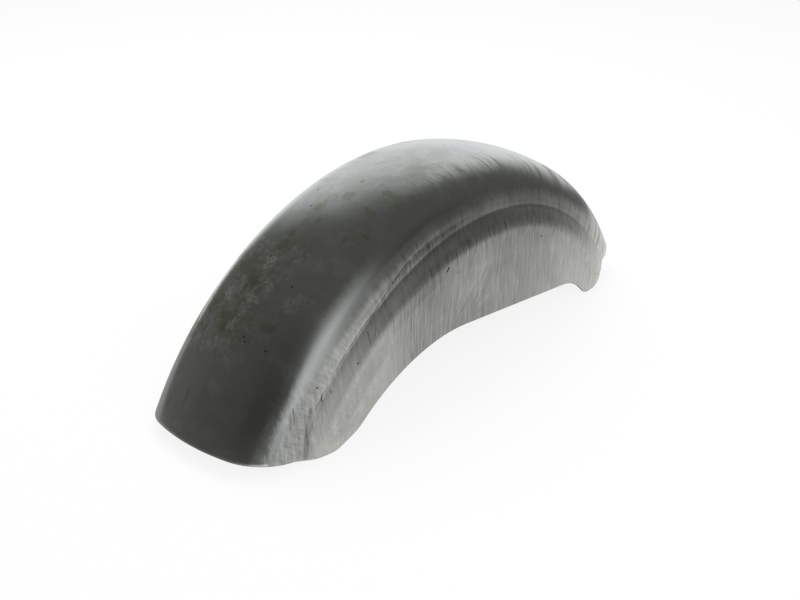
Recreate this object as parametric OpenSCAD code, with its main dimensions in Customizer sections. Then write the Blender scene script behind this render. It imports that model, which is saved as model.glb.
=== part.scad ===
// Motorcycle rear fender: one pressed sheet, curved along its length and across its
// width, with a step near the top of each side, deep flat skirts and a tab at each
// front corner. X runs forwards, Y across and Z up. The fender stands on z = 0 on its
// two rear corners and its two front tabs, and the wheel's axle lies below the floor.

/* [Sheet] */
// Thickness of the steel sheet
sheet_t = 1.6; // [1.0:0.1:2.4]

/* [Arch along the wheel] */
// Radius from the axle to the top of the crown, outside
arch_radius = 345; // [335:1:360]
// Depth of the axle below the floor when the fender stands on its corners
axle_drop = 150; // [144:1:156]
// Height of the crown's rear end above the floor
tail_rise = 15; // [8:0.5:22]
// Height of the crown's front end above the floor
front_rise = 40; // [30:0.5:50]

/* [Section across the wheel] */
// Width over the two skirts
width = 172; // [160:1:200]
// Radius of the crown across the width
crown_radius = 188; // [150:1:260]
// Radius of the shoulder between the crown and the side
shoulder_radius = 45; // [36:1:52]
// Lean of the side from upright at the end of the shoulder, in degrees
side_lean = 5; // [0:0.5:9]

/* [Step in the side] */
// How far the skirt stands out past the end of the shoulder
step_out = 8.3; // [5:0.1:12]
// Slope of the step from upright, in degrees
step_slope = 25; // [18:1:40]
// Radius in the crease above the step
crease_radius = 8; // [3:0.5:10]
// Radius over the edge where the step meets the skirt
step_edge_radius = 25; // [5:1:30]

/* [Rear corner] */
// Distance along the floor from the crown's rear end forward to the corner
tail_run = 85.6; // [80:0.1:92]
// Length of the corner's foot, before it is rounded
foot_length = 6.6; // [5:0.1:12]
// Distance from the foot forward to the heel, where the edge turns up
heel_run = 25; // [20:0.1:28]
// Height of the heel above the floor
heel_rise = 7; // [5:0.5:9]

/* [Wheel cut-out] */
// Distance from the heel forward to the corner that the cut-out rounds
cutout_run = 75; // [70:0.1:80]
// Height of that corner above the floor
cutout_rise = 59.7; // [56:0.1:64]
// Radius of the cut-out
cutout_radius = 209; // [180:1:212]

/* [Front tab] */
// Distance from the crown's front end back to the top of the tab
front_run = 60.4; // [56:0.1:66]
// Height of the tab's front edge
tab_height = 14.3; // [14.1:0.1:18]
// How far the tab's front edge leans forwards over that height
tab_lean = 4.5; // [3:0.1:6]
// Length of the tab's foot, before its corners are rounded
tab_length = 28.1; // [25:0.1:36]
// Radius of the tab's rear corner
tab_rear_radius = 22; // [10:1:24]
// Radius of the tab's front corner
tab_front_radius = 19; // [10:0.5:19]
// Distance from the tab's foot back to the notch behind it
notch_run = 28.6; // [27:0.1:34]
// Height of the notch above the floor
notch_rise = 25.6; // [22:0.1:29]
// Radius of the notch
notch_radius = 70; // [30:1:75]

/* [Hidden] */
steel = [0.56, 0.57, 0.56];

// Radii of the rear corner's foot and heel, and of the crease above the tab
foot_rear_radius = 20;
foot_front_radius = 20;
heel_radius = 50;
tab_top_radius = 1.5;

// The arch runs this far each way from upright, past both ends, and the outline trims it
arch_half_angle = 76;
// How far the outline runs past the sheet
clear = 30;

// Steps along the round stretches of the section, and in a turn of the arch
crown_steps = 6;
shoulder_steps = 12;
fold_steps = 3;
arch_steps = 180;
// Turn of the side outline at each step round a corner, in degrees
corner_step = 3;

// Distance from the axle of the crown's ends, and of the middle of the part's length
tail_reach = reach(tail_rise);
front_reach = reach(front_rise);
middle_x = (front_reach - tail_reach) / 2;

// Angles from straight up of the section's outward normal, where its stretches meet
side_angle = 90 - side_lean;
step_angle = 90 - step_slope;
crown_angle = asin((width / 2 - step_out - shoulder_radius * sin(side_angle))
    / (crown_radius - shoulder_radius));

// Straight length of the step, between the crease and the edge over the skirt
crease_out = crease_radius * (sin(side_angle) - sin(step_angle));
edge_out = step_edge_radius * (1 - sin(step_angle));
step_length = (step_out - crease_out - edge_out) / cos(step_angle);

// Centres of the section's arcs, as [distance from the middle, distance from the axle]
crown_centre = [0, arch_radius - crown_radius];
shoulder_centre = crown_centre + (crown_radius - shoulder_radius) * normal(crown_angle);
crease_centre = shoulder_centre + (shoulder_radius + crease_radius) * normal(side_angle);
edge_centre = crease_centre - (crease_radius + step_edge_radius) * normal(step_angle)
    + step_length * [cos(step_angle), -sin(step_angle)];

// The skirt is pressed down to this distance from the axle, and the outline trims it
skirt_end = axle_drop;

function reach(rise) = sqrt(arch_radius ^ 2 - (axle_drop + rise) ^ 2);
function normal(angle) = [sin(angle), cos(angle)];
function reversed(points) = [for (i = [len(points) - 1 : -1 : 0]) points[i]];

// Points round an arc, without its first: the one before it in the section ends there
function around(centre, radius, from, to, steps) =
    [for (i = [1 : steps]) centre + radius * normal(from + (to - from) * i / steps)];

// Half the section from the middle of the crown to the skirt's end, this far inside the
// sheet's outer face
function half_section(inset) = concat(
    [crown_centre + [0, crown_radius - inset]],
    around(crown_centre, crown_radius - inset, 0, crown_angle, crown_steps),
    around(shoulder_centre, shoulder_radius - inset, crown_angle, side_angle, shoulder_steps),
    [crease_centre - (crease_radius + inset) * normal(side_angle)],
    around(crease_centre, -crease_radius - inset, side_angle, step_angle, fold_steps),
    [edge_centre + (step_edge_radius - inset) * normal(step_angle)],
    around(edge_centre, step_edge_radius - inset, step_angle, 90, fold_steps),
    [[width / 2 - inset, skirt_end]]
);

// The same from one skirt's end over the crown to the other's, as [from axle, across]
function whole_section(inset) =
    let (half = half_section(inset), last = len(half) - 1)
    concat(
        [for (i = [last : -1 : 1]) [half[i].y, -half[i].x]],
        [for (point = half) [point.y, point.x]]
    );

function unit(v) = v / norm(v);

// The turn at b on the way from a to c, in degrees, and how far a radius there reaches
// back along the sides
function turn(a, b, c) =
    let (u = b - a, v = c - b)
    atan2(u.x * v.y - u.y * v.x, u * v);
function setback(a, b, c, radius) = radius * tan(abs(turn(a, b, c)) / 2);

// Points round the corner at b, with its radius
function rounded(a, b, c, radius) =
    let (
        u = unit(b - a),
        angle = turn(a, b, c),
        start = b - setback(a, b, c, radius) * u,
        spoke = sign(angle) * radius * [u.y, -u.x],
        steps = max(1, ceil(abs(angle) / corner_step))
    )
    radius == 0 ? [b] : [
        for (i = [0 : steps])
            let (part = angle * i / steps)
            start - spoke + [
                spoke.x * cos(part) - spoke.y * sin(part),
                spoke.x * sin(part) + spoke.y * cos(part)
            ]
    ];

// A closed outline with its corners rounded, from a list of [x, z, radius]. Two radii
// that would meet on a short side between them share it in proportion
function outline(corners) =
    let (
        n = len(corners),
        at = [for (corner = corners) [corner.x, corner.y]],
        before = function (i) (i + n - 1) % n,
        after = function (i) (i + 1) % n,
        reach_back = [for (i = [0 : n - 1]) setback(at[before(i)], at[i], at[after(i)], corners[i].z)],
        fit = [
            for (i = [0 : n - 1])
                norm(at[after(i)] - at[i]) / max(reach_back[i] + reach_back[after(i)], 0.001)
        ]
    )
    [
        for (i = [0 : n - 1])
            let (share = min(1, fit[i], fit[before(i)]))
            each rounded(at[before(i)], at[i], at[after(i)], share * corners[i].z)
    ];

// The sheet's section turned about the axle
module arch() {
    rotate([90, 0, 0])
        rotate_extrude(start = 90 - arch_half_angle, angle = 2 * arch_half_angle, $fn = arch_steps)
            polygon(concat(whole_section(0), reversed(whole_section(sheet_t))));
}

// The side outline: the tail's cut, the rear corner, the wheel cut-out, the notch, the
// tab and the front's cut, closed well above the crown
module side_outline() {
    foot_x = tail_run - tail_reach;
    heel_x = foot_x + foot_length + heel_run;
    tab_top_x = front_reach - front_run;
    tab_x = tab_top_x - tab_lean;
    notch_x = tab_x - tab_length - notch_run;
    tail_fall = tail_rise / tail_run;
    front_climb = (front_rise - tab_height) / front_run;
    top = arch_radius - axle_drop + clear;
    polygon(outline([
        [-tail_reach - clear, tail_rise + clear * tail_fall, 0],
        [foot_x, 0, foot_rear_radius],
        [foot_x + foot_length, 0, foot_front_radius],
        [heel_x, heel_rise, heel_radius],
        [heel_x + cutout_run, cutout_rise, cutout_radius],
        [notch_x, notch_rise, notch_radius],
        [tab_x - tab_length, 0, tab_rear_radius],
        [tab_x, 0, tab_front_radius],
        [tab_top_x, tab_height, tab_top_radius],
        [front_reach + clear, front_rise + clear * front_climb, 0],
        [front_reach + clear, top, 0],
        [-tail_reach - clear, top, 0]
    ]));
}

module fender() {
    color(steel)
        translate([-middle_x, 0, 0])
            intersection() {
                translate([0, 0, -axle_drop])
                    arch();
                rotate([90, 0, 0])
                    linear_extrude(width + 2 * clear, center = true)
                        side_outline();
            }
}

fender();
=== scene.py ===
"""Looks of a raw steel motorcycle rear fender: its smooth sheet, its finish and the studio round it."""
import logging
import math
from dataclasses import dataclass
from enum import Enum
from typing import Any

import bmesh
import bpy
from mathutils import Matrix, Vector


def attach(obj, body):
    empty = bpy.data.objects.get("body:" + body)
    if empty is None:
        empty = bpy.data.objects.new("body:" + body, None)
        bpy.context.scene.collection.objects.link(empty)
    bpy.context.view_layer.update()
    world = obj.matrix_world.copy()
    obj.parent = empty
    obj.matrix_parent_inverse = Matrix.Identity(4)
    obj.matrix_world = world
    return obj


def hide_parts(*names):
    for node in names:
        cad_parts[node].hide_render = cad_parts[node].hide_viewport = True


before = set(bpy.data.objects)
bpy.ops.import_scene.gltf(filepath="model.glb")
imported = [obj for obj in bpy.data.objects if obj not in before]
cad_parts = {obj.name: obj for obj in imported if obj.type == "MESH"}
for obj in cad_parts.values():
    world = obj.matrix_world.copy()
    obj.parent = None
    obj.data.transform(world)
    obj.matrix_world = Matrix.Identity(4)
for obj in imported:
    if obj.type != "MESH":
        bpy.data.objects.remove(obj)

Colour = tuple[float, float, float, float]
Edge = tuple[float, float]
Mesh = bmesh.types.BMesh

log = logging.getLogger("fender")
MM = 0.001


class Wire:
    """A node socket that takes part in Python arithmetic by adding Math nodes."""

    def __init__(self, sheet: "NodeSheet", socket: bpy.types.NodeSocket | None) -> None:
        """Keeps the socket, if the node has one, and the sheet that holds its node."""
        self.sheet = sheet
        self.socket = socket

    def _math(self, operation: str, *values: Any) -> "Wire":
        """Adds one Math node and gives its output."""
        return self.sheet.add("ShaderNodeMath", {"operation": operation}, dict(enumerate(values)))

    def __add__(self, other: Any) -> "Wire":
        """Sum."""
        return self._math("ADD", self, other)

    __radd__ = __add__

    def __sub__(self, other: Any) -> "Wire":
        """Difference."""
        return self._math("SUBTRACT", self, other)

    def __rsub__(self, other: Any) -> "Wire":
        """Difference with this wire taken away."""
        return self._math("SUBTRACT", other, self)

    def __mul__(self, other: Any) -> "Wire":
        """Product."""
        return self._math("MULTIPLY", self, other)

    __rmul__ = __mul__

    def __truediv__(self, other: Any) -> "Wire":
        """Quotient."""
        return self._math("DIVIDE", self, other)

    def __pow__(self, other: Any) -> "Wire":
        """Power."""
        return self._math("POWER", self, other)

    def __abs__(self) -> "Wire":
        """Magnitude."""
        return self._math("ABSOLUTE", self)

    def at_most(self, other: Any) -> "Wire":
        """The lesser of the two."""
        return self._math("MINIMUM", self, other)

    def at_least(self, other: Any) -> "Wire":
        """The greater of the two."""
        return self._math("MAXIMUM", self, other)

    def angle_to(self, other: Any) -> "Wire":
        """The angle whose tangent is this over the other, in radians."""
        return self._math("ARCTAN2", self, other)

    def rise(self, start: float, end: float) -> "Wire":
        """A smooth step.

        Args:
            start: value at which the step begins, where the result is 0.
            end: value at which it is 1. It may be below start, for a falling step.

        Returns:
            The step, from 0 to 1.
        """
        low, high, up = (start, end, True) if start < end else (end, start, False)
        step = self.sheet.add(
            "ShaderNodeMapRange",
            {"interpolation_type": "SMOOTHSTEP", "clamp": True},
            {"Value": self, "From Min": low, "From Max": high},
        )
        return step if up else 1.0 - step

    def band(self, low: float, high: float, soft: float) -> "Wire":
        """One between two values and 0 outside them, with soft edges of the given width."""
        return self.rise(low - soft, low) * self.rise(high + soft, high)


class NodeSheet:
    """Adds nodes to one node tree."""

    def __init__(self, tree: bpy.types.NodeTree) -> None:
        """Empties the tree and keeps it."""
        self.tree = tree
        tree.nodes.clear()

    def add(self, kind: str, settings: dict[str, Any] | None = None,
            inputs: dict[Any, Any] | None = None, output: Any = 0) -> Wire:
        """Adds a node.

        Args:
            kind: the node's type.
            settings: its properties, which are set first.
            inputs: values or wires, by socket name or number.
            output: name or number of the socket to give back.

        Returns:
            The wire of that output.
        """
        node = self.tree.nodes.new(kind)
        for name, value in (settings or {}).items():
            setattr(node, name, value)
        for name, value in (inputs or {}).items():
            socket = node.inputs[name]
            if isinstance(value, Wire):
                self.tree.links.new(value.socket, socket)
            else:
                socket.default_value = value
        return Wire(self, node.outputs[output] if node.outputs else None)

    def mix(self, factor: Any, a: Any, b: Any) -> Wire:
        """Blends two colours, from a at 0 to b at 1."""
        return self.add(
            "ShaderNodeMix", {"data_type": "RGBA"}, {"Factor": factor, 6: a, 7: b}, output=2)

    def times(self, base: Wire, colour: Colour, amount: Wire) -> Wire:
        """Multiplies a colour by another, by an amount that may pass 1."""
        return self.add(
            "ShaderNodeMix", {"data_type": "RGBA", "blend_type": "MULTIPLY", "clamp_factor": False},
            {"Factor": amount, 6: base, 7: colour}, output=2)

    def place(self) -> Wire:
        """The point's place in its object, in metres."""
        return self.add("ShaderNodeTexCoord", output="Object")

    def ray(self, kind: str) -> Wire:
        """1 for the rays that the named output of Light Path marks, and 0 for the others."""
        return self.add("ShaderNodeLightPath", output=kind)

    def axes(self, source: Wire) -> tuple[Wire, Wire, Wire]:
        """Splits a vector.

        Args:
            source: the vector.

        Returns:
            Its three parts.
        """
        parts = self.add("ShaderNodeSeparateXYZ", None, {0: source})
        outputs = parts.socket.node.outputs
        return Wire(self, outputs[0]), Wire(self, outputs[1]), Wire(self, outputs[2])

    def vector(self, x: Any, y: Any, z: Any) -> Wire:
        """A vector of three values."""
        return self.add("ShaderNodeCombineXYZ", None, {0: x, 1: y, 2: z})

    def noise(self, place: Wire, scale: float, detail: float = 3.0, rough: float = 0.5) -> Wire:
        """Smooth noise, from 0 to 1 about 0.5."""
        return self.add(
            "ShaderNodeTexNoise", None,
            {"Vector": place, "Scale": scale, "Detail": detail, "Roughness": rough})


def grey(value: float) -> Colour:
    """An opaque grey."""
    return (value, value, value, 1.0)


def tint(red: float, green: float, blue: float) -> Colour:
    """An opaque colour."""
    return (red, green, blue, 1.0)


def blank_material(name: str) -> tuple[bpy.types.Material, NodeSheet]:
    """Makes a material without nodes.

    Args:
        name: its name.

    Returns:
        The material and the sheet on which its nodes go.
    """
    made = bpy.data.materials.new(name)
    made.use_nodes = True
    return made, NodeSheet(made.node_tree)


def place_mesh(name: str, bm: Mesh) -> bpy.types.Object:
    """Puts a mesh in the scene.

    Args:
        name: name of the object and of its mesh.
        bm: the mesh, which is freed.

    Returns:
        The object.
    """
    mesh = bpy.data.meshes.new(name)
    bm.to_mesh(mesh)
    bm.free()
    made = bpy.data.objects.new(name, mesh)
    bpy.context.scene.collection.objects.link(made)
    return made


@dataclass(frozen=True)
class Arch:
    """The crown's arc over the wheel, and where the sheet is cut off at its two ends."""

    radius: float = 345 * MM
    axle_drop: float = 150 * MM
    tail_rise: float = 15 * MM
    front_rise: float = 40 * MM

    @property
    def tail_reach(self) -> float:
        """Distance from the axle back to the crown's rear end."""
        return math.sqrt(self.radius ** 2 - (self.axle_drop + self.tail_rise) ** 2)

    @property
    def front_reach(self) -> float:
        """Distance from the axle forwards to the crown's front end."""
        return math.sqrt(self.radius ** 2 - (self.axle_drop + self.front_rise) ** 2)

    @property
    def axle(self) -> Vector:
        """The axle's place. The fender's origin lies midway between the crown's two ends."""
        return Vector(((self.tail_reach - self.front_reach) / 2, 0.0, -self.axle_drop))

    @property
    def degree(self) -> float:
        """Length of one degree of the crown's arc, in millimetres."""
        return math.radians(self.radius / MM)


class Look(Enum):
    """What a blot leaves on the steel."""

    OLIVE = "olive"
    RING = "ring"
    FROST = "frost"


@dataclass(frozen=True)
class Blot:
    """A stain on the crown: its place in degrees round the arch and millimetres across it, and its size."""

    angle: float
    side: float
    length: float
    width: float
    tilt: float = 0.0
    depth: float = 1.0
    look: Look = Look.OLIVE


@dataclass(frozen=True)
class Pit:
    """A small dark pit, in millimetres from the fender's origin, and its radius."""

    x: float
    y: float
    z: float
    size: float = 1.3


@dataclass(frozen=True)
class Streak:
    """A dark line on the near side, between two places seen from the side, in millimetres."""

    x0: float
    z0: float
    x1: float
    z1: float
    width: float
    depth: float


@dataclass(frozen=True)
class LightAndShade:
    """Painted light, or painted shade where the amount is below 0, on a stretch of the near side, between
    two radii and two angles.

    The radii and their fade are in millimetres from the axle, and the angles in degrees from the arch's top.
    """

    low: float
    high: float
    first: float
    last: float
    amount: float
    fade: float = 4.0
    end_fade: float = 6.0


BLOTS = (
    Blot(-13.4, 2, 3, 2, depth=1.8),
    Blot(-13.9, -30, 4, 4, depth=1.6),
    Blot(-13.9, -40, 4, 8, depth=0.8),
    Blot(-19.0, -35, 10, 3, 72, 1.4),
    Blot(-21.8, -29, 8, 2.5, 81),
    Blot(-23.0, -48, 2.5, 5),
    Blot(-25.2, -36, 5, 3, 20),
    Blot(-17.5, -2, 8, 6, depth=0.9),
    Blot(-19.1, 10, 7, 5, depth=1.0, look=Look.RING),
    Blot(-21.2, 12, 8, 6, depth=0.9),
    Blot(-23.9, 0, 4.5, 3, depth=1.2),
    Blot(-25.0, 13, 6, 2.5, -20),
    Blot(-27.4, 15, 4.5, 4, depth=1.5),
    Blot(-29.9, 15, 9, 6, -35, 1.4),
    Blot(-6.0, 8, 14, 4, -24, 0.9, Look.RING),
    Blot(-8.0, -4, 12, 4, -22, 0.9, Look.RING),
    Blot(-6.7, -25, 20, 9, depth=0.5),
    Blot(-3.0, -32, 12, 7, depth=0.6),
    Blot(-12.9, -18, 4, 2, depth=1.0),
    Blot(-42.2, -27, 5, 8, 10, 1.1),
    Blot(-47.6, 4, 6, 5, depth=0.9, look=Look.RING),
    Blot(-57.6, 41, 8, 1.8, depth=1.1),
    Blot(-55.4, 20, 9, 1.8, depth=0.9),
    Blot(-53.0, 4, 7, 3, depth=0.5),
    Blot(-43.5, 24, 14, 10, 30, 0.9),
    Blot(-37.3, 17, 9, 8, 30, 0.9),
    Blot(-31.0, -11, 1.6, 9, 35, 1.0),
    Blot(-32.4, 16, 4, 4, look=Look.FROST),
    Blot(-33.8, 12, 5, 4, look=Look.FROST),
    Blot(-32.5, 7, 4, 4, look=Look.FROST),
    Blot(-36.0, 3, 4, 5, look=Look.FROST),
    Blot(-36.8, -6, 4, 4.5, look=Look.FROST),
    Blot(-39.5, 5, 5, 7, 30, look=Look.FROST),
    Blot(-39.1, 15, 5, 6, look=Look.FROST),
    Blot(-39.4, -2, 3, 4, look=Look.FROST, depth=0.8),
    Blot(-39.6, 33, 7, 6, look=Look.FROST),
    Blot(-41.0, 21, 8, 5, 30, look=Look.FROST),
    Blot(-43.8, 2, 8, 9, look=Look.FROST, depth=0.5),
    Blot(-29.7, -16, 4, 2, 30, look=Look.FROST, depth=0.8),
    Blot(-37.8, -34, 9, 6, 30, look=Look.FROST, depth=0.7),
    Blot(-36.4, -42, 5, 8, look=Look.FROST, depth=0.5),
    Blot(-30.9, -33, 8, 7, look=Look.FROST, depth=0.4),
)

PITS = (
    Pit(-191.5, -25, 130), Pit(-176, 16, 141.5), Pit(-96, 36, 175.5), Pit(-119, 22.5, 169.5),
    Pit(-235, -10.5, 95), Pit(-237, -14, 92.5), Pit(-236.5, -17.5, 92.5, 0.9), Pit(-235, -36.5, 90.5),
    Pit(-216.5, -76, 63, 1.2), Pit(-174.5, -83.5, 71, 1.1), Pit(-204, -80, 55, 0.9), Pit(100.5, -86, 101.5),
    Pit(-39, -86, 109.5, 0.9),
)

STREAKS = (
    Streak(-57.0, 116.2, -54.0, 119.0, 1.3, 0.9),
    # This streak near the tail's foot is painted shade along the widened crease.
    Streak(-226.0, 46.0, -238.0, 7.0, 3.2, 0.28),
    Streak(-212.0, 60.0, -218.0, 30.0, 0.9, 0.2),
    Streak(-240.0, 52.0, -242.0, 40.0, 0.8, 0.4),
    Streak(-107.5, 90.0, -107.0, 48.0, 0.8, 0.3),
    Streak(-158.0, 93.0, -158.5, 80.0, 0.9, 0.35),
    Streak(-150.0, 96.0, -152.0, 88.0, 1.0, 0.3),
)

# Painted light and shade on stretches of the near side: lighter on parts of the highlights, wall, step and
# skirt, darker on parts of the crease's edges and the skirt.
PAINTED_LIGHT_AND_SHADE = (
    LightAndShade(309, 318, -29, -14, 0.31),
    LightAndShade(323, 329, -66, -55, 0.28),
    LightAndShade(323, 329, -38, -30, 0.22),
    LightAndShade(255, 278, 0, 14, 0.12, 12),
    LightAndShade(262, 275, -48, -36, -0.14),
    LightAndShade(298, 303, 12, 36, -0.15),
    LightAndShade(306, 312, 5, 30, 0.12),
    LightAndShade(285, 297, -25, 30, 0.16),
    LightAndShade(299, 305, -31, -10, -0.22),
    LightAndShade(238, 278, -9, -2, 0.11, 14),
    LightAndShade(288, 298, -50, -45, 0.13),
    LightAndShade(270, 276, -28, -18, -0.13),
    LightAndShade(300, 306, 16, 38, -0.10),
    LightAndShade(310, 316, -40, -34, 0.16),
    LightAndShade(331, 337, -46, -38, 0.14),
    LightAndShade(230, 248, 26, 34, -0.07, 12),
    LightAndShade(242, 262, -52, -42, -0.08, 12),
    LightAndShade(200, 222, -14, -2, -0.08, 10),
    LightAndShade(305, 318, -62, -55, -0.09),
    LightAndShade(318, 324, -54, -48, 0.12),
    LightAndShade(308, 316, -7, 4, 0.16),
    LightAndShade(279, 287, 6, 20, 0.10),
)


class Spot:
    """Where a point of the sheet lies, as wires.

    The axes are millimetres from the fender's origin. Radius is millimetres from the axle, degrees is the
    angle forwards from the arch's top, and along is its arc in millimetres. The others are masks.
    """

    def __init__(self, sheet: NodeSheet, arch: Arch) -> None:
        """Works the place out.

        Args:
            sheet: where the nodes go.
            arch: the crown's arc.
        """
        self.x, self.y, self.z = (part * (1 / MM) for part in sheet.axes(sheet.place()))
        forward, height = self.x - arch.axle.x / MM, self.z - arch.axle.z / MM
        self.degrees = forward.angle_to(height) * (180 / math.pi)
        self.radius = (forward * forward + height * height) ** 0.5
        self.along = self.degrees * arch.degree
        self.near = self.y.rise(-20.0, -40.0)
        self.top = self.radius.rise(322.0, 332.0)
        self.front = self.degrees.rise(-24.0, 4.0)
        self.tail = (self.degrees.rise(-42.0, -52.0) * self.radius.rise(337.0, 322.0)
                     * self.radius.rise(284.0, 300.0))
        self.left = self.x.rise(-120.0, -175.0) * self.radius.rise(292.0, 280.0)


class Grit:
    """The noises that the marks are made from: fine and coarse, round and drawn out along the strokes.

    Edge and hair lie about 0, and the others about 0.5.
    """

    def __init__(self, sheet: NodeSheet, spot: Spot) -> None:
        """Makes the noises.

        Args:
            sheet: where the nodes go.
            spot: the point's place.
        """
        x, y, z, along, radius = spot.x, spot.y, spot.z, spot.along, spot.radius
        round_arch = sheet.vector(along, y, radius)
        self.patch = sheet.noise(round_arch, 0.05, 5.0, 0.62)
        self.cloud = sheet.noise(round_arch, 0.012, 2.0)
        self.speck = sheet.noise(round_arch, 0.19, 3.0, 0.6)
        self.edge = sheet.noise(round_arch, 0.16, 4.0, 0.65) - 0.5
        self.curl = sheet.noise(round_arch, 0.075, 4.0, 0.55)
        self.bite = sheet.noise(sheet.vector(along * 0.3, y * 0.07, 0.0), 1.0, 3.0, 0.6)
        self.fringe = sheet.noise(sheet.vector(along * 0.3, 0.0, radius * 0.05), 1.0, 4.0, 0.6)
        self.brushed = sheet.noise(sheet.vector(along * 0.15, y * 0.014, radius * 0.014), 1.0, 4.0, 0.62)
        wavering = x * 0.33 + (self.patch - 0.5) * 1.6
        self.scratched = sheet.noise(sheet.vector(wavering, y * 0.1, z * 0.035), 1.0, 5.0, 0.66)
        self.fine = sheet.noise(sheet.vector(x * 0.8, y * 0.1, z * 0.05 + x * 0.05), 1.0, 3.0, 0.6)
        self.slant = sheet.noise(sheet.vector(x * 0.4 - z * 0.33, y * 0.1, (x + z) * 0.03), 1.0, 3.0, 0.6)
        self.upright = sheet.noise(sheet.vector(x * 0.3, y * 0.3, z * 0.02), 1.0, 4.0, 0.7)
        hairs = []
        for way in (0.5, 1.9, 2.7):
            across = along * 0.9 * math.cos(way) + y * 0.9 * math.sin(way)
            down = y * 0.05 * math.cos(way) - along * 0.05 * math.sin(way)
            hairs.append(sheet.noise(sheet.vector(across, down, way), 1.0, 3.0, 0.7))
        self.hair = (sum(hairs[1:], hairs[0]) - 0.5 * len(hairs)) * spot.top


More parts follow.
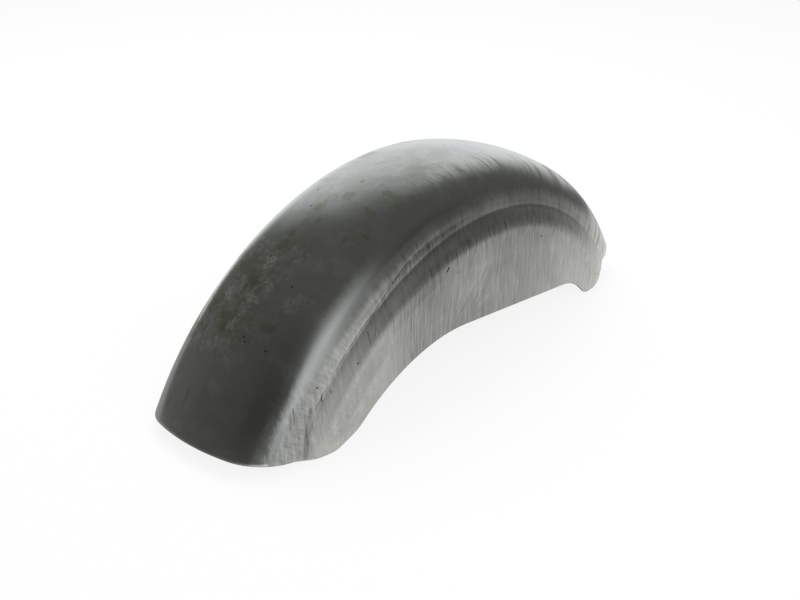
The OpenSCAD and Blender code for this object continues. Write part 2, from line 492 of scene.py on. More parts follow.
@dataclass(frozen=True)
class RawSteel:
    """Bare mill steel: a smooth stained crown, and sides ground with an abrasive belt, with painted light
    and shade on the near side.

    A gain is how much lighter or darker a mark makes the steel. An edge is two distances from the axle and
    a side two places along the fender, in millimetres, and a run is two angles from the arch's top, in
    degrees. The mark fades in from the first to the second, or lies between them.
    """

    arch: Arch = Arch()
    crown: Colour = tint(0.475, 0.49, 0.48)
    ground: Colour = tint(0.43, 0.435, 0.407)
    olive: Colour = tint(0.83, 0.845, 0.765)
    frost: Colour = tint(1.22, 1.23, 1.20)
    bleed: Colour = tint(0.86, 0.86, 0.83)
    reflected_blue: Colour = tint(0.97, 1.0, 1.055)
    crown_roughness: float = 0.23
    ground_roughness: float = 0.40
    olive_roughness: float = 0.04
    frost_roughness: float = 0.05
    stroke_roughness: float = 0.16
    grain_roughness: float = 0.15
    brush_height: float = 0.25
    scratch_height: float = 0.10
    mark_height: float = 0.1
    ground_edge: Edge = (322.0, 301.0)
    ground_waver: float = 22.0
    stroke_edge: Edge = (343.5, 338.5)
    stroke_foot: Edge = (285.0, 305.0)
    crease: float = 300.0
    crease_lift: float = 7.5
    crease_waver: float = 3.0
    crease_run: Edge = (-48.0, -13.0)
    crease_shade_edge: Edge = (290.0, 297.0)
    crease_shade_run: Edge = (-46.0, 2.0)
    crust_run: Edge = (-47.0, -31.0)
    teeth_run: Edge = (-15.0, 20.0)
    lip_edge: Edge = (303.0, 313.0)
    fold_edge: Edge = (274.0, 286.0)
    end_edge: Edge = (284.0, 334.0)
    end_side: Edge = (90.0, 150.0)
    front_side: Edge = (190.0, 300.0)
    wear_and_shade_tail_side: Edge = (-155.0, -90.0)
    wear_and_shade_front_side: Edge = (190.0, 60.0)
    wear_and_shade_edge: Edge = (300.0, 280.0)
    relief_edge: Edge = (316.0, 292.0)
    stain_limit: float = 1.8
    film_gain: float = 0.5
    bare_gain: float = 0.4
    crust_gain: float = 0.9
    frost_gain: float = 1.5
    pit_gain: float = 0.85
    crease_dirt_and_shade_gain: float = 0.42
    crease_shade_gain: float = 0.35
    wear_and_shade_gain: float = 0.36
    front_gain: float = 0.85
    strand_gain: float = 0.75
    fine_gain: float = 0.5
    curl_gain: float = 0.10
    mottle_gain: float = 0.6
    glint_gain: float = 0.13
    slant_gain: float = 2.0
    lip_gain: float = 1.5
    fold_gain: float = 1.8
    end_gain: float = 0.6
    hair_gain: float = 0.10
    tail_gain: float = 1.4
    tail_level: float = 0.62

    def material(self) -> bpy.types.Material:
        """Makes the material.

        Returns:
            The finished steel.
        """
        made, sheet = blank_material("raw_steel")
        spot = Spot(sheet, self.arch)
        grit = Grit(sheet, spot)
        sides = (spot.radius + (grit.brushed - 0.5) * self.ground_waver).rise(*self.ground_edge)
        stroke = (grit.brushed.rise(0.48, 0.60) * spot.front * spot.radius.rise(*self.stroke_edge)
                  * spot.radius.rise(*self.stroke_foot))
        lift = spot.degrees.rise(-32.0, -20.0) * spot.degrees.rise(6.0, -8.0) * self.crease_lift
        crease = self.crease + lift + grit.edge * self.crease_waver
        # Painted shade on the step just inside the crease. The base colour there also takes a painted bluish
        # reflection.
        crease_shade = ((crease - spot.radius).rise(0.0, 3.0) * spot.radius.rise(*self.crease_shade_edge)
                 * spot.degrees.band(*self.crease_shade_run, 6.0) * spot.near)
        olive, frost = self._stains(spot, grit)
        dark = self._darkness(spot, grit, crease, crease_shade)
        grain = self._grain(spot, grit, crease, sides)
        # Darker across the skirt's middle: partly wear, partly painted shade.
        wear_and_shade = (spot.x.rise(*self.wear_and_shade_tail_side) * spot.x.rise(*self.wear_and_shade_front_side)
                * spot.radius.rise(*self.wear_and_shade_edge))
        # Painted light makes the ground sides lighter towards the front end.
        shade = (1.0 + grain - dark - wear_and_shade * self.wear_and_shade_gain
                 + spot.x.rise(*self.front_side) * sides * self.front_gain)
        base = sheet.mix(sides, self.crown, self.ground)
        base = sheet.times(base, self.olive, olive)
        base = sheet.times(base, self.frost, frost)
        base = sheet.times(base, self.bleed, stroke)
        # Painted bluish reflection on the step inside the crease.
        base = sheet.times(base, self.reflected_blue, crease_shade)
        base = sheet.times(base, grey(0.0), 1.0 - shade)
        roughness = (self.crown_roughness + sides * (self.ground_roughness - self.crown_roughness)
                     + olive * self.olive_roughness + frost * self.frost_roughness
                     + stroke * self.stroke_roughness + grain * self.grain_roughness)
        shader = sheet.add(
            "ShaderNodeBsdfPrincipled", None,
            {"Base Color": base, "Metallic": 1.0, "Roughness": roughness,
             "Normal": self._relief(sheet, spot, grit, dark)})
        sheet.add("ShaderNodeOutputMaterial", None, {"Surface": shader})
        return made

    def _stains(self, spot: Spot, grit: Grit) -> tuple[Wire, Wire]:
        """Lays the stains on the crown: the placed blots, a thin film, and a crust near the tail.

        Args:
            spot: the point's place.
            grit: the noises.

        Returns:
            How much olive stain and how much frost there is.
        """
        olive, frost = self._blots(spot, grit.edge)
        film = grit.patch.rise(0.47, 0.52) * grit.cloud.rise(0.42, 0.55) * spot.top
        bare = grit.patch.rise(0.46, 0.42) * grit.cloud.rise(0.62, 0.45) * spot.top
        crust = spot.degrees.band(*self.crust_run, 5.0) * spot.y.rise(-35.0, 5.0) * spot.top
        across = spot.y + spot.degrees * 0.6 + (grit.speck - 0.5) * 40.0
        teeth = (grit.bite.rise(0.50, 0.56) * spot.degrees.band(*self.teeth_run, 6.0)
                 * across.band(-57.0, -45.0, 4.0))
        olive = olive + film * self.film_gain + teeth + grit.patch.rise(0.5, 0.52) * crust * self.crust_gain
        frost = (frost * grit.speck.rise(0.41, 0.46) * self.frost_gain + bare * self.bare_gain
                 + grit.speck.rise(0.55, 0.57) * crust)
        return olive.at_most(self.stain_limit), frost.at_most(self.stain_limit)

    def _blots(self, spot: Spot, edge: Wire) -> tuple[Wire, Wire]:
        """Lays the placed blots.

        Args:
            spot: the point's place.
            edge: noise that breaks their outlines.

        Returns:
            How much olive stain and how much frost there is.
        """
        totals: dict[Look, Wire | float] = {Look.OLIVE: 0.0, Look.FROST: 0.0}
        for blot in BLOTS:
            turn = math.radians(blot.tilt)
            a, b = spot.along - blot.angle * self.arch.degree, spot.y - blot.side
            u = (a * math.cos(turn) + b * math.sin(turn)) * (1 / blot.length)
            v = (b * math.cos(turn) - a * math.sin(turn)) * (1 / blot.width)
            reach = (u * u + v * v) ** 0.5 + edge * (2.2 if blot.look is Look.FROST else 1.6)
            mask = reach.rise(1.1, 0.8) * blot.depth
            if blot.look is Look.RING:
                mask = mask * reach.rise(0.55, 0.85)
            kind = Look.FROST if blot.look is Look.FROST else Look.OLIVE
            totals[kind] = mask + totals[kind]
        return totals[Look.OLIVE], totals[Look.FROST]

    def _darkness(self, spot: Spot, grit: Grit, crease: Wire, crease_shade: Wire) -> Wire:
        """Gathers the dark marks, and the painted shade along the crease.

        Args:
            spot: the point's place.
            grit: the noises.
            crease: distance of the crease's dark line from the axle.
            crease_shade: where painted shade darkens the step just inside that line.

        Returns:
            How dark the pits and streaks make the steel, with the crease's dark line, partly dirt and partly
            painted shade, and the painted shade just inside it.
        """
        # The crease's dark line: partly dirt, partly painted shade in the hollow of the crease.
        crease_dirt_and_shade = abs(spot.radius - crease).rise(1.3, 0.3)
        crease_dirt_and_shade = crease_dirt_and_shade * spot.degrees.band(*self.crease_run, 4.0) * spot.near
        dark = self._pits(spot) * self.pit_gain + self._streaks(spot, grit.edge) * spot.near
        dark = dark + crease_dirt_and_shade * grit.patch.rise(0.38, 0.52) * self.crease_dirt_and_shade_gain
        return dark + crease_shade * (grit.speck + 0.1) * self.crease_shade_gain

    @staticmethod
    def _pits(spot: Spot) -> Wire:
        """Makes the pits.

        Args:
            spot: the point's place.

        Returns:
            1 inside a pit and 0 elsewhere.
        """
        total: Wire | float = 0.0
        for pit in PITS:
            a, b, c = spot.x - pit.x, spot.y - pit.y, spot.z - pit.z
            total = ((a * a + b * b + c * c) ** 0.5).rise(pit.size, pit.size * 0.4) + total
        return total

    @staticmethod
    def _streaks(spot: Spot, edge: Wire) -> Wire:
        """Draws the streaks.

        Args:
            spot: the point's place.
            edge: noise that makes them waver.

        Returns:
            How dark they make the steel, from 0 to 1.
        """
        total: Wire | float = 0.0
        for streak in STREAKS:
            run, rise = streak.x1 - streak.x0, streak.z1 - streak.z0
            a, b = spot.x - streak.x0, spot.z - streak.z0
            part = ((a * run + b * rise) * (1 / (run * run + rise * rise))).at_least(0.0).at_most(1.0)
            a, b = a - part * run, b - part * rise
            away = (a * a + b * b) ** 0.5 + edge * 0.8
            total = away.rise(streak.width, streak.width * 0.3) * streak.depth + total
        return total

    def _grain(self, spot: Spot, grit: Grit, crease: Wire, sides: Wire) -> Wire:
        """Gathers what the belt, the folds and handling leave on the steel, and painted light and shade on
        stretches of the near side.

        Args:
            spot: the point's place.
            grit: the noises.
            crease: distance of the crease's dark line from the axle.
            sides: where the steel is ground, from 0 to 1.

        Returns:
            How much lighter the steel is for it, and darker where it is below 0.
        """
        radius, left = spot.radius, spot.left
        strands = (grit.scratched - 0.5) * self.strand_gain + (grit.fine - 0.5) * self.fine_gain
        grain = strands * sides * (grit.cloud + 0.6) * (1.0 - left * 0.55)
        curls = abs(grit.curl - 0.5).rise(0.05, 0.0) * self.curl_gain
        grain = grain + (curls + (grit.patch - 0.5) * self.mottle_gain) * left * spot.near
        glints = grit.scratched.rise(0.57, 0.68) * grit.edge.rise(-0.05, 0.1)
        grain = grain + glints * sides * (1.0 - left) * self.glint_gain
        slant = (grit.slant - 0.5).at_least(0.0)
        slant = slant * spot.x.band(-40.0, 15.0, 15.0) * spot.z.band(66.0, 104.0, 8.0)
        grain = grain + slant * spot.near * self.slant_gain
        lip = abs(radius - crease - 2.0).rise(1.6, 0.4)
        lip = lip * spot.degrees.band(*self.crease_run, 4.0) * spot.near
        fray = grit.fringe - 0.5
        grain = grain + lip * grit.edge.at_least(0.0) * self.lip_gain
        grain = grain + fray * radius.band(*self.lip_edge, 4.0)
        grain = grain + fray * radius.band(*self.fold_edge, 5.0) * spot.front * self.fold_gain
        # Painted light and shade on set stretches of the near side.
        for lit_stretch in PAINTED_LIGHT_AND_SHADE:
            ring = radius.band(lit_stretch.low, lit_stretch.high, lit_stretch.fade)
            stretch = spot.degrees.band(lit_stretch.first, lit_stretch.last, lit_stretch.end_fade)
            grain = grain + ring * stretch * spot.near * lit_stretch.amount
        grain = (grain + fray * spot.x.rise(*self.end_side) * radius.band(*self.end_edge, 8.0)
                 * self.end_gain)
        return (grain + grit.hair * self.hair_gain
                + (grit.upright - self.tail_level) * spot.tail * self.tail_gain)

    def _relief(self, sheet: NodeSheet, spot: Spot, grit: Grit, dark: Wire) -> Wire:
        """Makes the belt's strokes stand out of the surface, and the dark marks lie a little lower.

        Args:
            sheet: where the nodes go.
            spot: the point's place.
            grit: the noises.
            dark: the dark marks.

        Returns:
            The bumped normal.
        """
        low = spot.radius.rise(*self.relief_edge)
        ends = spot.front * spot.top * (0.5 - spot.degrees.rise(8.0, 30.0) * 0.3)
        relief = (grit.brushed * (low * (1.0 - spot.tail * 0.7) * 0.3 + ends) * self.brush_height
                  + grit.scratched * low * self.scratch_height - dark * self.mark_height)
        return sheet.add("ShaderNodeBump", None, {"Strength": 1.0, "Distance": MM, "Height": relief})


@dataclass(frozen=True)
class ShearedEdge:
    """The sheet's cut edge, coloured very dark."""

    colour: Colour = tint(0.05, 0.05, 0.047)
    wear_and_shade: Colour = tint(0.11, 0.11, 0.105)
    mottle: float = 600.0
    roughness: float = 0.6
    specular: float = 0.2

    def material(self) -> bpy.types.Material:
        """Makes the material.

        Returns:
            The finished edge.
        """
        made, sheet = blank_material("sheared_edge")
        mottle = sheet.noise(sheet.place(), self.mottle, 3.0, 0.6)
        base = sheet.mix(mottle.rise(0.35, 0.65), self.colour, self.wear_and_shade)
        shader = sheet.add(
            "ShaderNodeBsdfPrincipled", None,
            {"Base Color": base, "Roughness": self.roughness, "Specular IOR Level": self.specular})
        sheet.add("ShaderNodeOutputMaterial", None, {"Surface": shader})
        return made


@dataclass(frozen=True)
class Section:
    """The sheet's section across the wheel: crown, shoulder, crease, step and skirt."""

    width: float = 172 * MM
    crown_radius: float = 188 * MM
    shoulder_radius: float = 45 * MM
    side_angle: float = math.radians(85)
    step_out: float = 8.3 * MM
    step_angle: float = math.radians(65)
    crease_radius: float = 8 * MM
    edge_radius: float = 25 * MM

    @property
    def crown_angle(self) -> float:
        """Slope at which the crown meets the shoulder."""
        flat = self.width / 2 - self.step_out - self.shoulder_radius * math.sin(self.side_angle)
        return math.asin(flat / (self.crown_radius - self.shoulder_radius))

    @property
    def step_length(self) -> float:
        """Works out the straight length of the step.

        Returns:
            What the crease's and the edge's arcs leave of it.
        """
        crease = self.crease_radius * (math.sin(self.side_angle) - math.sin(self.step_angle))
        edge = self.edge_radius * (1 - math.sin(self.step_angle))
        return (self.step_out - crease - edge) / math.cos(self.step_angle)


@dataclass
class FenderSheet:
    """The pressed sheet, as one smooth mesh in place of the plain node."""

    arch: Arch = Arch()
    section: Section = Section()
    edge: ShearedEdge = ShearedEdge()
    tail_run: float = 85.6 * MM
    foot_length: float = 6.6 * MM
    foot_radius: float = 20 * MM
    heel_run: float = 25 * MM
    heel_rise: float = 7 * MM
    heel_radius: float = 50 * MM
    cutout_run: float = 75 * MM
    cutout_rise: float = 59.7 * MM
    cutout_radius: float = 209 * MM
    front_run: float = 60.4 * MM
    tab_height: float = 14.3 * MM
    tab_lean: float = 4.5 * MM
    tab_length: float = 28.1 * MM
    tab_rear_radius: float = 22 * MM
    tab_front_radius: float = 19 * MM
    tab_top_radius: float = 1.5 * MM
    notch_run: float = 28.6 * MM
    notch_rise: float = 25.6 * MM
    notch_radius: float = 70 * MM
    thickness: float = 1.6 * MM
    edge_round: float = 0.45 * MM
    edge_angle: float = math.radians(50)
    corner_step: float = math.radians(2)
    arch_steps: int = 220
    crown_steps: int = 14
    shoulder_steps: int = 36
    crease_steps: int = 8
    fold_steps: int = 12
    weld: float = 1e-6

    def _corners(self) -> list[tuple[float, float, float]]:
        """Lays out the skirt's lower outline, from the tail's cut to the front's.

        Returns:
            Each corner's x from the axle, its z and its radius.
        """
        foot = self.tail_run - self.arch.tail_reach
        heel = foot + self.foot_length + self.heel_run
        tab_top = self.arch.front_reach - self.front_run
        tab = tab_top - self.tab_lean
        notch = tab - self.tab_length - self.notch_run
        return [
            (-self.arch.tail_reach, self.arch.tail_rise, 0.0),
            (foot, 0.0, self.foot_radius),
            (foot + self.foot_length, 0.0, self.foot_radius),
            (heel, self.heel_rise, self.heel_radius),
            (heel + self.cutout_run, self.cutout_rise, self.cutout_radius),
            (notch, self.notch_rise, self.notch_radius),
            (tab - self.tab_length, 0.0, self.tab_rear_radius),
            (tab, 0.0, self.tab_front_radius),
            (tab_top, self.tab_height, self.tab_top_radius),
            (self.arch.front_reach, self.arch.front_rise, 0.0),
        ]

    @staticmethod
    def _spin(bm: Mesh, last: Any, centre: Vector, axis: Vector, angle: float, steps: int) -> Any:
        """Sweeps a vertex, or a row of them, round a centre.

        Args:
            bm: the mesh.
            last: the vertices and edges to sweep.
            centre: a point on the axis.
            axis: direction of the axis.
            angle: how far to turn.
            steps: in how many steps.

        Returns:
            The vertices and edges where the sweep ends.
        """
        return bmesh.ops.spin(
            bm, geom=last, cent=centre, axis=axis, dvec=Vector(), angle=angle, steps=steps,
            use_merge=False, use_normal_flip=False, use_duplicate=False)["geom_last"]

    def _half_section(self, bm: Mesh) -> None:
        """Draws half the section at the top of the arch, from the crown's middle to the skirt.

        Args:
            bm: the mesh, still empty.
        """
        cut = self.section
        top = self.arch.axle + Vector((0, 0, self.arch.radius))
        along = Vector((1, 0, 0))

        def normal(angle: float) -> Vector:
            """The direction at a slope, square to the sheet."""
            return Vector((0, -math.sin(angle), math.cos(angle)))

        crown = top - Vector((0, 0, cut.crown_radius))
        shoulder = crown + (cut.crown_radius - cut.shoulder_radius) * normal(cut.crown_angle)
        crease = shoulder + (cut.shoulder_radius + cut.crease_radius) * normal(cut.side_angle)
        slope = Vector((0, -math.cos(cut.step_angle), -math.sin(cut.step_angle)))
        edge = (crease - (cut.crease_radius + cut.edge_radius) * normal(cut.step_angle)
                + cut.step_length * slope)
        last = [bm.verts.new(top)]
        last = self._spin(bm, last, crown, along, cut.crown_angle, self.crown_steps)
        last = self._spin(bm, last, shoulder, along, cut.side_angle - cut.crown_angle, self.shoulder_steps)
        last = self._spin(bm, last, crease, along, cut.step_angle - cut.side_angle, self.crease_steps)
        ends = [vert for vert in last if isinstance(vert, bmesh.types.BMVert)]
        last = bmesh.ops.extrude_vert_indiv(bm, verts=ends)["verts"]
        bmesh.ops.translate(bm, verts=last, vec=cut.step_length * slope)
        self._spin(bm, last, edge, along, math.pi / 2 - cut.step_angle, self.fold_steps)

    @staticmethod
    def _cut_angle(radius: float, outer: Vector, inner: Vector) -> float:
        """Works out where a cut reaches a distance from the axle.

        Args:
            radius: the distance from the axle.
            outer: the cut's end on the crown, as x and z from the axle.
            inner: another point of the cut, nearer the axle.

        Returns:
            The angle there from upright, forwards, in radians.
        """
        way = (inner - outer).normalized()
        back = -outer.dot(way)
        off_line = outer.length_squared - back ** 2
        place = outer + (back - math.sqrt(max(radius ** 2 - off_line, 0.0))) * way
        return math.atan2(place.x, place.y)

    def _bend_arch(self, bm: Mesh) -> None:
        """Sweeps the section along the arch, and slides each row's ends to the two cuts.

        Args:
            bm: the mesh, which holds half the section.
        """
        corners = self._corners()
        axle, drop = self.arch.axle, self.arch.axle_drop
        tail = [Vector((x, z + drop)) for x, z, _ in corners[:2]]
        front = [Vector((x, z + drop)) for x, z, _ in corners[:-3:-1]]
        first, last = (math.atan2(cut[0].x, cut[0].y) for cut in (tail, front))
        bmesh.ops.rotate(bm, verts=bm.verts, cent=axle, matrix=Matrix.Rotation(first, 3, "Y"))
        self._spin(bm, bm.verts[:] + bm.edges[:], axle, Vector((0, 1, 0)), last - first, self.arch_steps)
        for vert in bm.verts:
            flat = vert.co - axle
            radius = math.hypot(flat.x, flat.z)
            share = (math.atan2(flat.x, flat.z) - first) / (last - first)
            from_angle = self._cut_angle(radius, *tail)
            angle = from_angle + share * (self._cut_angle(radius, *front) - from_angle)
            vert.co = axle + Vector((radius * math.sin(angle), flat.y, radius * math.cos(angle)))

    def _rounding(self, at: list[Vector]) -> list[tuple[Vector, Vector, Vector, float, float]]:
        """Works out the outline's rounded corners.

        Two radii that would meet on a short side between them share it in proportion, as in the plain part.

        Args:
            at: the outline's points, whose first and last stay sharp.

        Returns:
            For each corner, the point before it, its own, the one after, its turn and its radius.
        """
        turns, radii = [0.0], [0.0]
        for before, here, after, (_, _, radius) in zip(at, at[1:], at[2:], self._corners()[1:]):
            into, out = here - before, after - here
            turns.append(math.copysign(into.angle(out), into.x * out.z - into.z * out.x))
            radii.append(radius)
        reach = [radius * math.tan(abs(turn) / 2) for turn, radius in zip(turns, radii)] + [0.0]
        fit = [
            (two - one).length / max(a + b, self.weld)
            for one, two, a, b in zip(at, at[1:], reach, reach[1:])
        ]
        shares = [min(1.0, back, on) for back, on in zip(fit, fit[1:])]
        return [
            (before, here, after, turn, share * radius)
            for before, here, after, turn, radius, share
            in zip(at, at[1:], at[2:], turns[1:], radii[1:], shares)
        ]

    def _add_skirt(self, bm: Mesh) -> None:
        """Fills the flat skirt between the step's edge and the outline below it.

        Args:
            bm: the mesh, which holds the near half's arch.
        """
        low = min(vert.co.y for vert in bm.verts)
        rim = [
            edge for edge in bm.edges
            if edge.is_boundary and all(abs(vert.co.y - low) < self.weld for vert in edge.verts)
        ]
        met = {vert for edge in rim for vert in edge.verts}
        ends = sorted(
            (vert for vert in met if sum(edge in rim for edge in vert.link_edges) == 1),
            key=lambda vert: vert.co.x)
        at = [Vector((x + self.arch.axle.x, low, z)) for x, z, _ in self._corners()]
        at[0], at[-1] = ends[0].co, ends[1].co
        chain = [ends[0]]
        for before, here, _, turn, radius in self._rounding(at):
            chain += self._round_corner(bm, before, here, turn, radius)
        chain.append(ends[1])
        for one, two in zip(chain[::2], chain[1::2]):
            bm.edges.new((one, two))
        loop = rim + [edge for edge in bm.edges if not edge.link_faces]
        bmesh.ops.contextual_create(bm, geom=loop)

    def _round_corner(self, bm: Mesh, before: Vector, here: Vector,
                      turn: float, radius: float) -> list[bmesh.types.BMVert]:
        """Draws one corner of the skirt's outline.

        Args:
            bm: the mesh.
            before: the outline's point before the corner.
            here: the corner.
            turn: how far the outline turns there, in radians.
            radius: the corner's radius. One whose arc is shorter than the edge's easing stays sharp.

        Returns:
            The vertices where the corner begins and ends.
        """
        if radius * abs(turn) < self.edge_round:
            return [bm.verts.new(here)] * 2
        into = (here - before).normalized()
        start = bm.verts.new(here - radius * math.tan(abs(turn) / 2) * into)
        centre = start.co + math.copysign(radius, turn) * Vector((-into.z, 0, into.x))
        steps = math.ceil(min(abs(turn) / self.corner_step, radius * abs(turn) / self.edge_round))
        found = self._spin(bm, [start], centre, Vector((0, 1, 0)), -turn, steps)
        return [start, next(vert for vert in found if isinstance(vert, bmesh.types.BMVert))]

    def _whole(self, bm: Mesh) -> None:
        """Mirrors the near half, and turns the crown's faces up and smooth.

        Args:
            bm: the mesh, which holds the near half.
        """
        bmesh.ops.mirror(
            bm, geom=bm.verts[:] + bm.edges[:] + bm.faces[:], axis="Y", merge_dist=self.weld)
        bmesh.ops.remove_doubles(bm, verts=bm.verts, dist=self.weld)
        bmesh.ops.recalc_face_normals(bm, faces=bm.faces)
        crown = max(bm.faces, key=lambda face: face.calc_center_median().z)
        if crown.normal.z < 0:
            bmesh.ops.reverse_faces(bm, faces=bm.faces)
        for face in bm.faces:
            face.smooth = True

    def _thicken(self, sheet: bpy.types.Object) -> None:
        """Gives the sheet its wall, with eased edges.

        Args:
            sheet: the object.
        """
        wall = sheet.modifiers.new("Wall", "SOLIDIFY")
        wall.thickness = self.thickness
        wall.offset = -1.0
        wall.use_even_offset = True
        wall.material_offset_rim = 1
        ease = sheet.modifiers.new("Edge", "BEVEL")
        ease.width = self.edge_round
        ease.segments = 2
        ease.limit_method = "ANGLE"
        ease.angle_limit = self.edge_angle
        ease.material = 1

    def _dress(self, sheet: bpy.types.Object) -> None:
        """Gives the sheet its finishes, says which body it rides on, and hides the plain node that it stands
        in for.

        Args:
            sheet: the object.
        """
        sheet.data.materials.append(RawSteel(arch=self.arch).material())
        sheet.data.materials.append(self.edge.material())
        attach(sheet, "root")
        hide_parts("fender")

    def build(self) -> None:
        """Builds the sheet and dresses it. Its wall stays a modifier."""
        bm = bmesh.new()
        self._half_section(bm)
        self._bend_arch(bm)
        self._add_skirt(bm)
        self._whole(bm)
        sheet = place_mesh("fender_sheet", bm)
        self._thicken(sheet)
        self._dress(sheet)
        log.info("fender_sheet: %d faces before its wall", len(sheet.data.polygons))


@dataclass(frozen=True)
class StudioTent:
    """What the bare metal mirrors: a white sweep behind, a strip light in front and a dark room."""

    radius: float = 4.0
    segments: int = 48
    rings: int = 24
    room: float = 0.125
    back_dip: float = 0.062
    near_dip: float = 0.05
    side_gain: float = 0.04
    strip: float = 0.76
    sweep: float = 1.1
    sweep_high: float = 0.72
    sweep_low: float = 0.15
    dim_white: Colour = tint(1.0, 1.0, 0.93)
    full_white: Colour = tint(0.99, 1.0, 1.02)

    def build(self) -> None:
        """Makes the tent, which only reflections see."""
        bm = bmesh.new()
        bmesh.ops.create_uvsphere(bm, u_segments=self.segments, v_segments=self.rings, radius=self.radius)
        tent = place_mesh("tent", bm)
        tent.visible_camera = False
        tent.visible_diffuse = False
        tent.visible_transmission = False
        tent.visible_shadow = False
        tent.data.materials.append(self._walls())

    def _walls(self) -> bpy.types.Material:
        """Makes the tent's light, by direction from its middle.

        Returns:
            The glowing walls.
        """
        made, sheet = blank_material("tent_walls")
        x, y, z = sheet.axes(sheet.place())
        turn = y.angle_to(x) * (180 / math.pi)
        climb = z.angle_to((x * x + y * y) ** 0.5) * (180 / math.pi)
        reach = (x * x + y * y + z * z) ** 0.5
        height = climb.rise(66, 31) * self.sweep_high + climb.rise(30, 0) * self.sweep_low
        sweep = turn.rise(-15, 22) * turn.rise(82, 62) * height * self.sweep
        strip = turn.rise(-120, -108) * turn.rise(-76, -98) * climb.rise(52, 16) * self.strip
        back = (x / reach).rise(-0.2, -0.7) * (y / reach).rise(0.9, -0.2) * climb.rise(6, 22)
        near = (y / reach).rise(-0.5, -0.8) * (x / reach).rise(0.1, 0.35)
        side = (y / reach).rise(0.6, 1.0)
        room = self.room - back * self.back_dip - near * self.near_dip + side * self.side_gain
        light = sweep.at_least(strip) + room
        colour = sheet.mix(light.rise(0.1, 0.5), self.dim_white, self.full_white)
        glow = sheet.add("ShaderNodeEmission", None, {"Color": colour, "Strength": light})
        sheet.add("ShaderNodeOutputMaterial", None, {"Surface": glow})
        return made


@dataclass(frozen=True)
class Floor:
    """The pale floor, which keeps the fender's shadow.

    The camera sees all of it. In what the metal mirrors it is a painted pool of light that ends behind the
    tail, with painted shade in four places:
    the near corner in front, ahead, behind, where it stands for the fender's shadow, and at the heel. Edges
    are in metres from its middle.
    """

    size: float = 12.0
    albedo: float = 0.8
    lift: float = 0.87
    dim: float = 0.14
    soft: float = 0.18
    tail_edge: float = -0.30
    corner_x: float = 0.20
    corner_y: float = -0.20
    ahead_x: Edge = (0.55, 0.85)
    ahead_y: Edge = (0.35, 0.1)
    behind_middle: float = 0.1
    behind_length: float = 0.6
    behind_width: float = 0.35
    behind_rim: Edge = (0.9, 0.4)
    behind_x: Edge = (0.05, -0.15)
    behind_y: Edge = (-0.05, 0.05)
    behind_dip: float = 0.68
    heel_x: Edge = (-0.05, -0.2)
    heel_y: Edge = (-0.13, -0.3)
    heel_dip: float = 0.3

    def build(self) -> None:
        """Makes the floor."""
        bm = bmesh.new()
        bmesh.ops.create_grid(bm, x_segments=2, y_segments=2, size=self.size)
        floor = place_mesh("floor", bm)
        floor.data.materials.append(self._paper())

    def _mirrored(self, x: Wire, y: Wire) -> Wire:
        """Works out how bright the metal sees the floor: a painted pool of light, with painted shade in four
        places.

        Args:
            x: metres towards the fender's front.
            y: metres towards its far side.

        Returns:
            The brightness, from the dim share to 1.
        """
        # Painted shade in what the metal mirrors: the near corner, ahead, the fender's painted shadow
        # behind, and the heel.
        corner = (x.rise(self.corner_x, self.corner_x + self.soft)
                  * y.rise(self.corner_y, self.corner_y - self.soft))
        ahead = x.rise(*self.ahead_x) * y.rise(*self.ahead_y)
        u, v = (x - self.behind_middle) * (1 / self.behind_length), y * (1 / self.behind_width)
        behind = (u * u + v * v).rise(*self.behind_rim).at_least(x.rise(*self.behind_x))
        behind = behind * y.rise(*self.behind_y) * self.behind_dip
        heel = x.rise(*self.heel_x) * y.rise(*self.heel_y) * self.heel_dip
        # A painted pool of light, which ends behind the tail.
        lit_pool = x.rise(self.tail_edge - self.soft, self.tail_edge)
        lit_pool = lit_pool * (1.0 - corner.at_least(ahead).at_least(behind))
        return lit_pool * (1.0 - heel) * (1.0 - self.dim) + self.dim

    def _paper(self) -> bpy.types.Material:
        """Makes the white paper.

        Returns:
            Paper that the camera and the metal see as glowing, and that shadows fall on.
        """
        made, sheet = blank_material("paper")
        camera = sheet.ray("Is Camera Ray")
        mirrored = sheet.ray("Is Glossy Ray").at_least(sheet.ray("Is Transmission Ray"))
        x, y, _ = sheet.axes(sheet.place())
        strength = camera + mirrored * self._mirrored(x, y)
        paper = sheet.add("ShaderNodeBsdfDiffuse", None, {"Color": grey(self.albedo)})
        glow = sheet.add("ShaderNodeEmission", None, {"Color": grey(1.0), "Strength": strength})
        both = sheet.add(
            "ShaderNodeMixShader", None, {0: camera * self.lift + mirrored, 1: paper, 2: glow})
        sheet.add("ShaderNodeOutputMaterial", None, {"Surface": both})
        return made


@dataclass(frozen=True)
class Softbox:
    """A large soft lamp, in metres and watts, which the metal doesn't mirror."""

    name: str
    place: tuple[float, float, float]
    power: float
    size: float = 1.6
    aim: tuple[float, float, float] = (0.0, 0.0, 0.08)

    def build(self) -> None:
        """Makes the lamp, turned to the point it lights."""
        lamp = bpy.data.lights.new(self.name, "AREA")
        lamp.shape = "SQUARE"
        lamp.size = self.size
        lamp.energy = self.power
        box = bpy.data.objects.new(self.name, lamp)
        box.location = self.place
        box.rotation_euler = (Vector(self.aim) - box.location).to_track_quat("-Z", "Y").to_euler()
        box.visible_glossy = False
        bpy.context.scene.collection.objects.link(box)
        log.info("%s lamp: %.0f W", self.name, self.power)


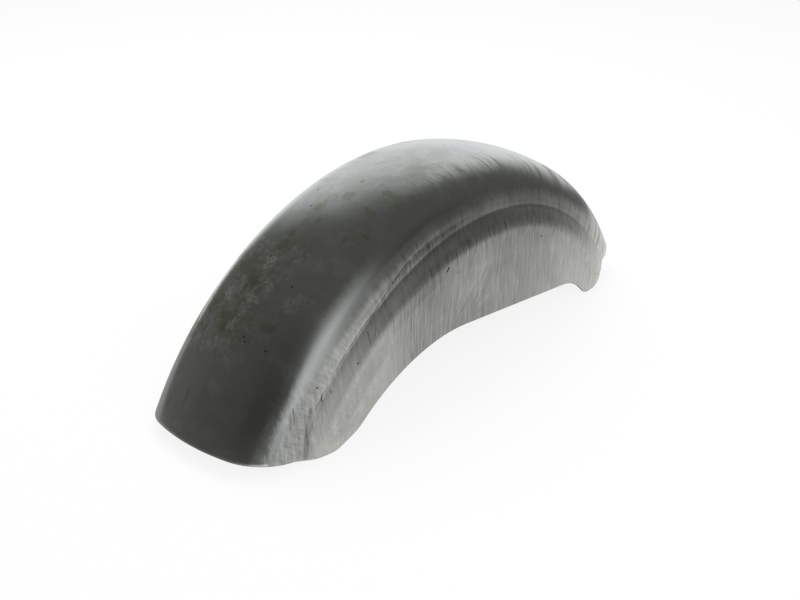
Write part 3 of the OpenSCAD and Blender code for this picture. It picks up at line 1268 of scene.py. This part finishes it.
@dataclass(frozen=True)
class PhotoCamera:
    """The camera at the photograph's angle, in degrees and metres, with its lens in millimetres."""

    aim: tuple[float, float, float] = (-0.02007, 0.0, 0.04607)
    distance: float = 1.01015
    azimuth: float = -50.139
    elevation: float = 26.196
    roll: float = 0.52
    lens: float = 45.124
    sensor: float = 36.0

    def build(self) -> None:
        """Makes the camera and gives it to the scene."""
        turn, climb = math.radians(self.azimuth), math.radians(self.elevation)
        right = Vector((math.cos(turn), math.sin(turn), 0.0))
        back = Vector((math.sin(turn) * math.cos(climb), -math.cos(turn) * math.cos(climb), math.sin(climb)))
        basis = Matrix((right, back.cross(right), back)).transposed().to_4x4()
        data = bpy.data.cameras.new("camera")
        data.sensor_width = self.sensor
        data.lens = self.lens
        camera = bpy.data.objects.new("camera", data)
        camera.matrix_world = (
            Matrix.Translation(Vector(self.aim) + self.distance * back)
            @ basis @ Matrix.Rotation(math.radians(self.roll), 4, "Z"))
        bpy.context.scene.collection.objects.link(camera)
        bpy.context.scene.camera = camera


@dataclass(frozen=True)
class Air:
    """The world: white where the camera and reflections see it, and a soft light for the rest."""

    strength: float = 0.5

    def build(self) -> None:
        """Makes the world and gives it to the scene."""
        world = bpy.data.worlds.new("studio")
        bpy.context.scene.world = world
        world.use_nodes = True
        sheet = NodeSheet(world.node_tree)
        mirrored = sheet.ray("Is Glossy Ray").at_least(sheet.ray("Is Transmission Ray"))
        seen = sheet.ray("Is Camera Ray").at_least(mirrored)
        level = seen * (1.0 - self.strength) + self.strength
        air = sheet.add("ShaderNodeBackground", None, {"Color": grey(1.0), "Strength": level})
        sheet.add("ShaderNodeOutputWorld", None, {"Surface": air})


def main() -> None:
    """Builds the fender and its studio."""
    logging.basicConfig(level=logging.INFO, format="%(name)s: %(message)s")
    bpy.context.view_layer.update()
    bpy.context.scene.view_settings.view_transform = "Standard"
    PhotoCamera().build()
    FenderSheet().build()
    Floor().build()
    StudioTent().build()
    Air().build()
    Softbox("key", (0.6, 0.9, 2.0), 40.0).build()
    Softbox("fill", (-0.4, -1.6, 1.6), 20.0).build()


if __name__ == "__main__":
    main()
